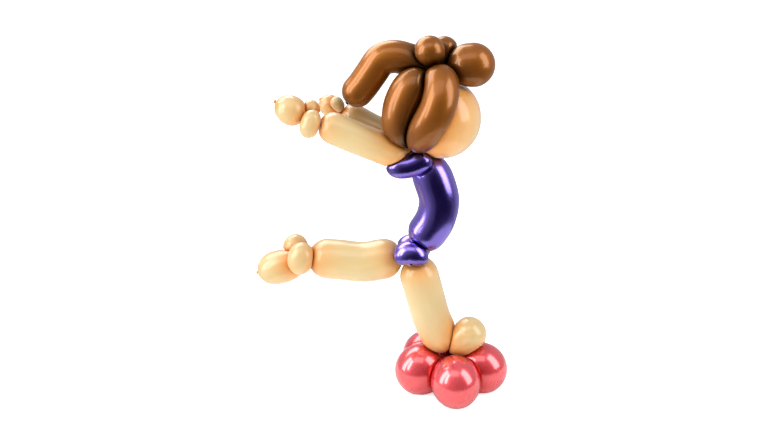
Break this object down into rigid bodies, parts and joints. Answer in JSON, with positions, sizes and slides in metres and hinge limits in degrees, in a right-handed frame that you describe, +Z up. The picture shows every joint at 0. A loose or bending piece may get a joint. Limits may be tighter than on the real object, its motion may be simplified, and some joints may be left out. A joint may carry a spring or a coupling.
{
  "type": "balloon gymnast figure",
  "caption": "Gymnast twisted from modelling balloons, arching back on one leg with the other leg and both arms stretched out behind, on a flower of round balloons.",
  "frame": {"origin": "on the ground, under the middle of the whole figure's box", "axes": "+X the way the figure faces, +Y its left side, +Z up"},
  "size_m": [0.328, 0.1448, 0.4589],
  "materials": {
    "peach": "pearly peach latex, smooth and softly glossy, a little see-through",
    "brown": "pearly chestnut latex, smooth and glossy",
    "purple_chrome": "mirror-like violet chrome latex",
    "coral": "metallic coral latex, smooth and glossy"
  },
  "bodies": {
    "root": {"petal_front": "coral", "petal_right": "coral", "petal_back_right": "coral", "petal_back_left": "coral", "petal_left": "coral", "standing_leg": "peach", "raised_leg": "peach", "leotard": "purple_chrome", "right_arm": "peach", "left_arm": "peach", "head": "peach", "hair": "brown", "ponytail": "brown"}
  },
  "joints": []
}
